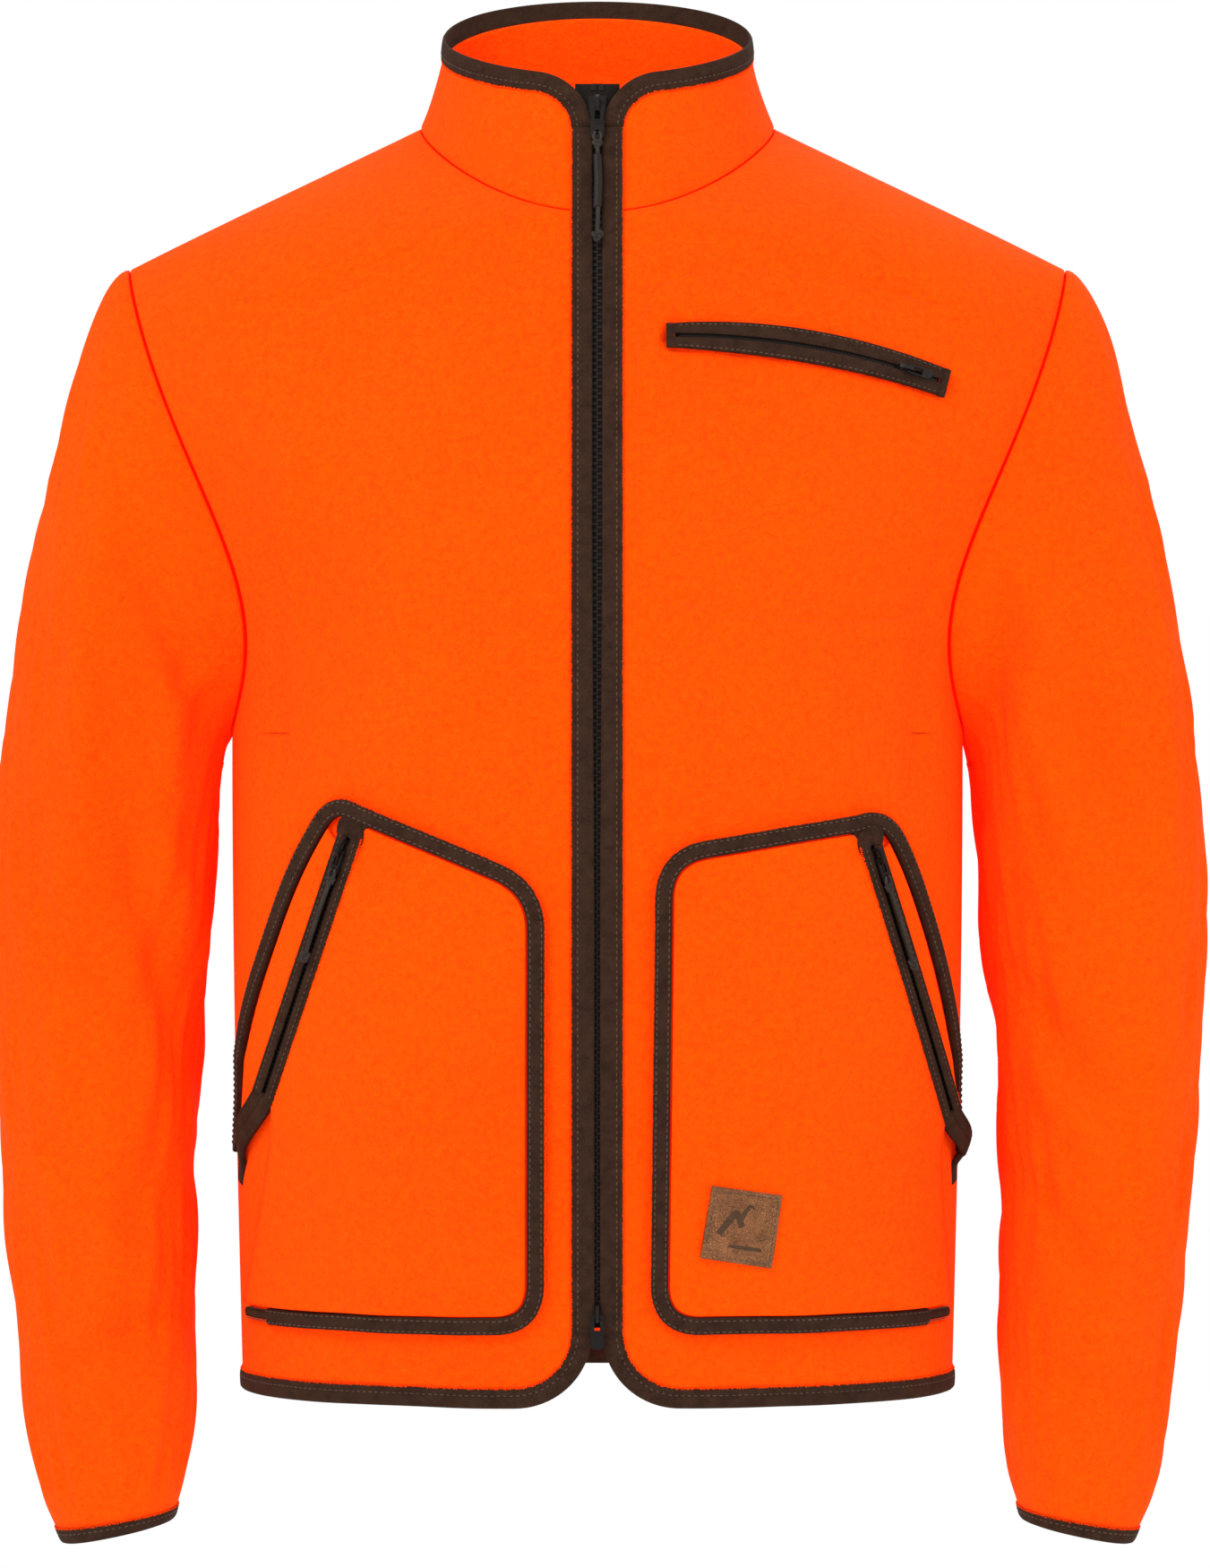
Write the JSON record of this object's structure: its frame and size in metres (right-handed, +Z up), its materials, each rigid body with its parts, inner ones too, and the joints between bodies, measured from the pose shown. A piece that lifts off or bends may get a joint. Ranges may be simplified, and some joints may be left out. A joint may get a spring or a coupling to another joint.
{
  "type": "fleece jacket",
  "caption": "Hip-length blaze orange fleece jacket with long sleeves, stand collar, two-way front zip, slanted zipped hand pockets and a zipped chest pocket, shaped as if worn.",
  "frame": {"origin": "middle of the neck opening, level with the shoulders, where a hanger or the wearer's neck holds it", "axes": "+X towards the wearer's left, -Y the front, +Z up towards the collar"},
  "size_m": [0.6486, 0.2742, 0.8302],
  "materials": {
    "fleece": "high-pile fleece",
    "binding": "brushed stretch binding",
    "zip_tape": "woven tape",
    "zip_teeth": "moulded",
    "zip_slider": "satin",
    "leather": "full grain",
    "cord": "braided",
    "pocket_lining": "mesh"
  },
  "bodies": {
    "jacket": {"back_panel": "fleece", "chest_pocket_bag": "pocket_lining", "chest_welt_lower": "binding", "chest_welt_upper": "binding", "chest_zip_lower": "zip_tape", "chest_zip_upper": "zip_tape", "collar": "fleece", "collar_binding": "binding", "cuff_binding_left": "binding", "cuff_binding_right": "binding", "front_binding_left": "binding", "front_binding_right": "binding", "front_panel_left": "fleece", "front_panel_right": "fleece", "hem_binding": "binding", "leather_patch": "leather", "pocket_facing_inner_left": "binding", "pocket_facing_inner_right": "binding", "pocket_facing_outer_left": "binding", "pocket_facing_outer_right": "binding", "pocket_panel_left": "fleece", "pocket_panel_right": "fleece", "pocket_side_panel_left": "fleece", "pocket_side_panel_right": "fleece", "pocket_tape_left": "binding", "pocket_tape_right": "binding", "pocket_zip_inner_left": "zip_tape", "pocket_zip_inner_right": "zip_tape", "pocket_zip_outer_left": "zip_tape", "pocket_zip_outer_right": "zip_tape", "sleeve_left": "fleece", "sleeve_right": "fleece", "zip_tape_left": "zip_tape", "zip_tape_right": "zip_tape", "zip_top_stop_left": "zip_teeth", "zip_top_stop_right": "zip_teeth"},
    "top_slider_body": {"top_slider": "zip_slider"},
    "top_pull": {"top_pull_tab": "zip_slider", "top_pull_cord": "cord"},
    "bottom_slider_body": {"bottom_slider": "zip_slider"},
    "bottom_pull": {"bottom_pull_tab": "zip_slider"},
    "pocket_slider_body_left": {"pocket_left_slider": "zip_slider"},
    "pocket_pull_left": {"pocket_left_pull_tab": "zip_slider", "pocket_left_pull_cord": "cord"},
    "pocket_slider_body_right": {"pocket_right_slider": "zip_slider"},
    "pocket_pull_right": {"pocket_right_pull_tab": "zip_slider", "pocket_right_pull_cord": "cord"},
    "chest_slider_body": {"chest_slider": "zip_slider"},
    "chest_pull": {"chest_pull_tab": "zip_slider"}
  },
  "joints": [
    {"name": "top_slider_run", "type": "hinge", "parent": "jacket", "child": "top_slider_body", "pos_m": [0, 1.51469, -0.40873], "axis": [-1, 0, 0], "range_deg": [-14.9, 0]},
    {"name": "top_pull_lift", "type": "hinge", "parent": "top_slider_body", "child": "top_pull", "pos_m": [0, -0.09608, -0.01022], "axis": [-1, 0, 0], "range_deg": [0, 150]},
    {"name": "bottom_slider_run", "type": "hinge", "parent": "jacket", "child": "bottom_slider_body", "pos_m": [0, 1.51469, -0.40873], "axis": [-1, 0, 0], "range_deg": [0, 3.4]},
    {"name": "bottom_pull_lift", "type": "hinge", "parent": "bottom_slider_body", "child": "bottom_pull", "pos_m": [0, -0.12915, -0.63497], "axis": [-1, 0, 0], "range_deg": [-8, 150]},
    {"name": "pocket_slider_run_left", "type": "hinge", "parent": "jacket", "child": "pocket_slider_body_left", "pos_m": [0.10217, 0.32948, -0.32488], "axis": [-0.9483, -0.0351, -0.3155], "range_deg": [-14.4, 0]},
    {"name": "pocket_pull_lift_left", "type": "hinge", "parent": "pocket_slider_body_left", "child": "pocket_pull_left", "pos_m": [0.14571, -0.1186, -0.40057], "axis": [-0.6709, -0.655, -0.3475], "range_deg": [0, 150]},
    {"name": "pocket_slider_run_right", "type": "hinge", "parent": "jacket", "child": "pocket_slider_body_right", "pos_m": [-0.11415, 0.39781, -0.31393], "axis": [-0.9467, -0.0214, 0.3215], "range_deg": [-12, 0]},
    {"name": "pocket_pull_lift_right", "type": "hinge", "parent": "pocket_slider_body_right", "child": "pocket_pull_right", "pos_m": [-0.13192, -0.12681, -0.39658], "axis": [-0.7559, 0.5524, 0.3514], "range_deg": [0, 150]},
    {"name": "chest_slider_run", "type": "hinge", "parent": "jacket", "child": "chest_slider_body", "pos_m": [0.03099, 0.11199, -0.35162], "axis": [0.0304, -0.6885, -0.7246], "range_deg": [0, 17.5]},
    {"name": "chest_pull_lift", "type": "hinge", "parent": "chest_slider_body", "child": "chest_pull", "pos_m": [0.16174, -0.09993, -0.14686], "axis": [-0.2066, -0.1846, -0.9609], "range_deg": [0, 150]}
  ]
}
